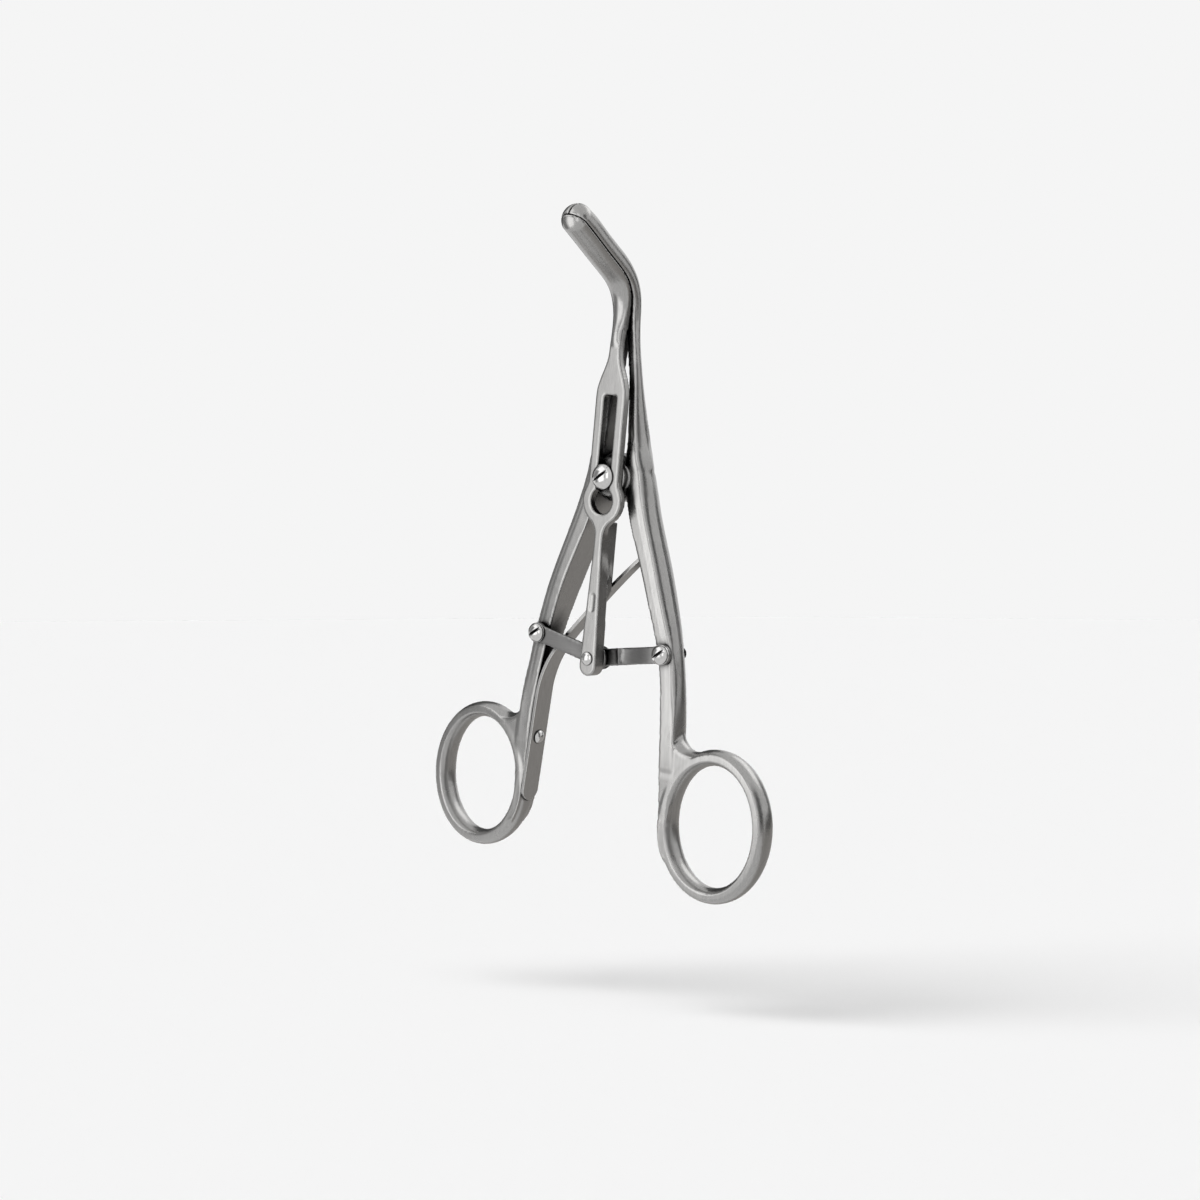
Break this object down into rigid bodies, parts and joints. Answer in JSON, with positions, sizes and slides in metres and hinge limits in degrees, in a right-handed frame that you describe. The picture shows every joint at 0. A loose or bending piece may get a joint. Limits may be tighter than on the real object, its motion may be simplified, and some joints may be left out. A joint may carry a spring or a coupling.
{
  "type": "tracheal dilator",
  "caption": "Ring-handled surgical dilator: squeezing the rings parts the side blades and draws the slotted centre blade down, and a leaf spring opens the handles again.",
  "frame": {"origin": "middle of the whole instrument's bounding box at rest, blades closed", "axes": "+Z from the finger rings towards the blade tips, -Y towards the front where the blades bend and the slotted plate lies, +X towards the right arm"},
  "size_m": [0.091, 0.0304, 0.1416],
  "materials": {
    "forged_steel": "satin",
    "link_steel": "satin",
    "turned_steel": "polished",
    "spring_steel": "satin"
  },
  "bodies": {
    "left_arm": {"left_arm": "forged_steel", "leaf_spring": "spring_steel", "spring_rivet": "turned_steel", "left_link_screw": "turned_steel", "left_link_washer": "turned_steel"},
    "right_arm": {"right_arm": "forged_steel", "right_link_screw": "turned_steel", "right_link_washer": "turned_steel"},
    "pivot_screw": {"pivot_screw": "turned_steel", "pivot_nut": "turned_steel"},
    "centre_blade": {"centre_blade": "forged_steel", "link_pin": "turned_steel", "link_pin_washer": "turned_steel"},
    "left_link": {"left_link": "link_steel"},
    "right_link": {"right_link": "link_steel"}
  },
  "joints": [
    {"name": "handle_hinge", "type": "hinge", "parent": "left_arm", "child": "right_arm", "pos_m": [0, 0.01093, 0.01529], "axis": [0, 1, 0], "range_deg": [0, 20], "stiffness_Nm_per_rad": 0.8, "springref_deg": -5.73, "deforming": ["leaf_spring"]},
    {"name": "pivot_turn", "type": "hinge", "parent": "left_arm", "child": "pivot_screw", "pos_m": [0, 0.01093, 0.01529], "axis": [0, 1, 0], "range_deg": [0, 10]},
    {"name": "centre_slide", "type": "slide", "parent": "pivot_screw", "child": "centre_blade", "axis": [0, 0, -1], "range_m": [0, 0.01406]},
    {"name": "left_link_turn", "type": "hinge", "parent": "left_arm", "child": "left_link", "pos_m": [-0.01695, 0.00743, -0.02041], "axis": [0, 1, 0], "range_deg": [0, 54.05]},
    {"name": "right_link_turn", "type": "hinge", "parent": "right_arm", "child": "right_link", "pos_m": [0.01695, 0.00743, -0.02041], "axis": [0, 1, 0], "range_deg": [-54.05, 0]}
  ],
  "couplings": [
    {"joint": "pivot_turn", "follows": "handle_hinge", "ratio": 0.5},
    {"joint": "centre_slide", "follows": "handle_hinge", "m_per_rad": 0.04027},
    {"joint": "left_link_turn", "follows": "handle_hinge", "ratio": 2.702},
    {"joint": "right_link_turn", "follows": "handle_hinge", "ratio": -2.702}
  ]
}
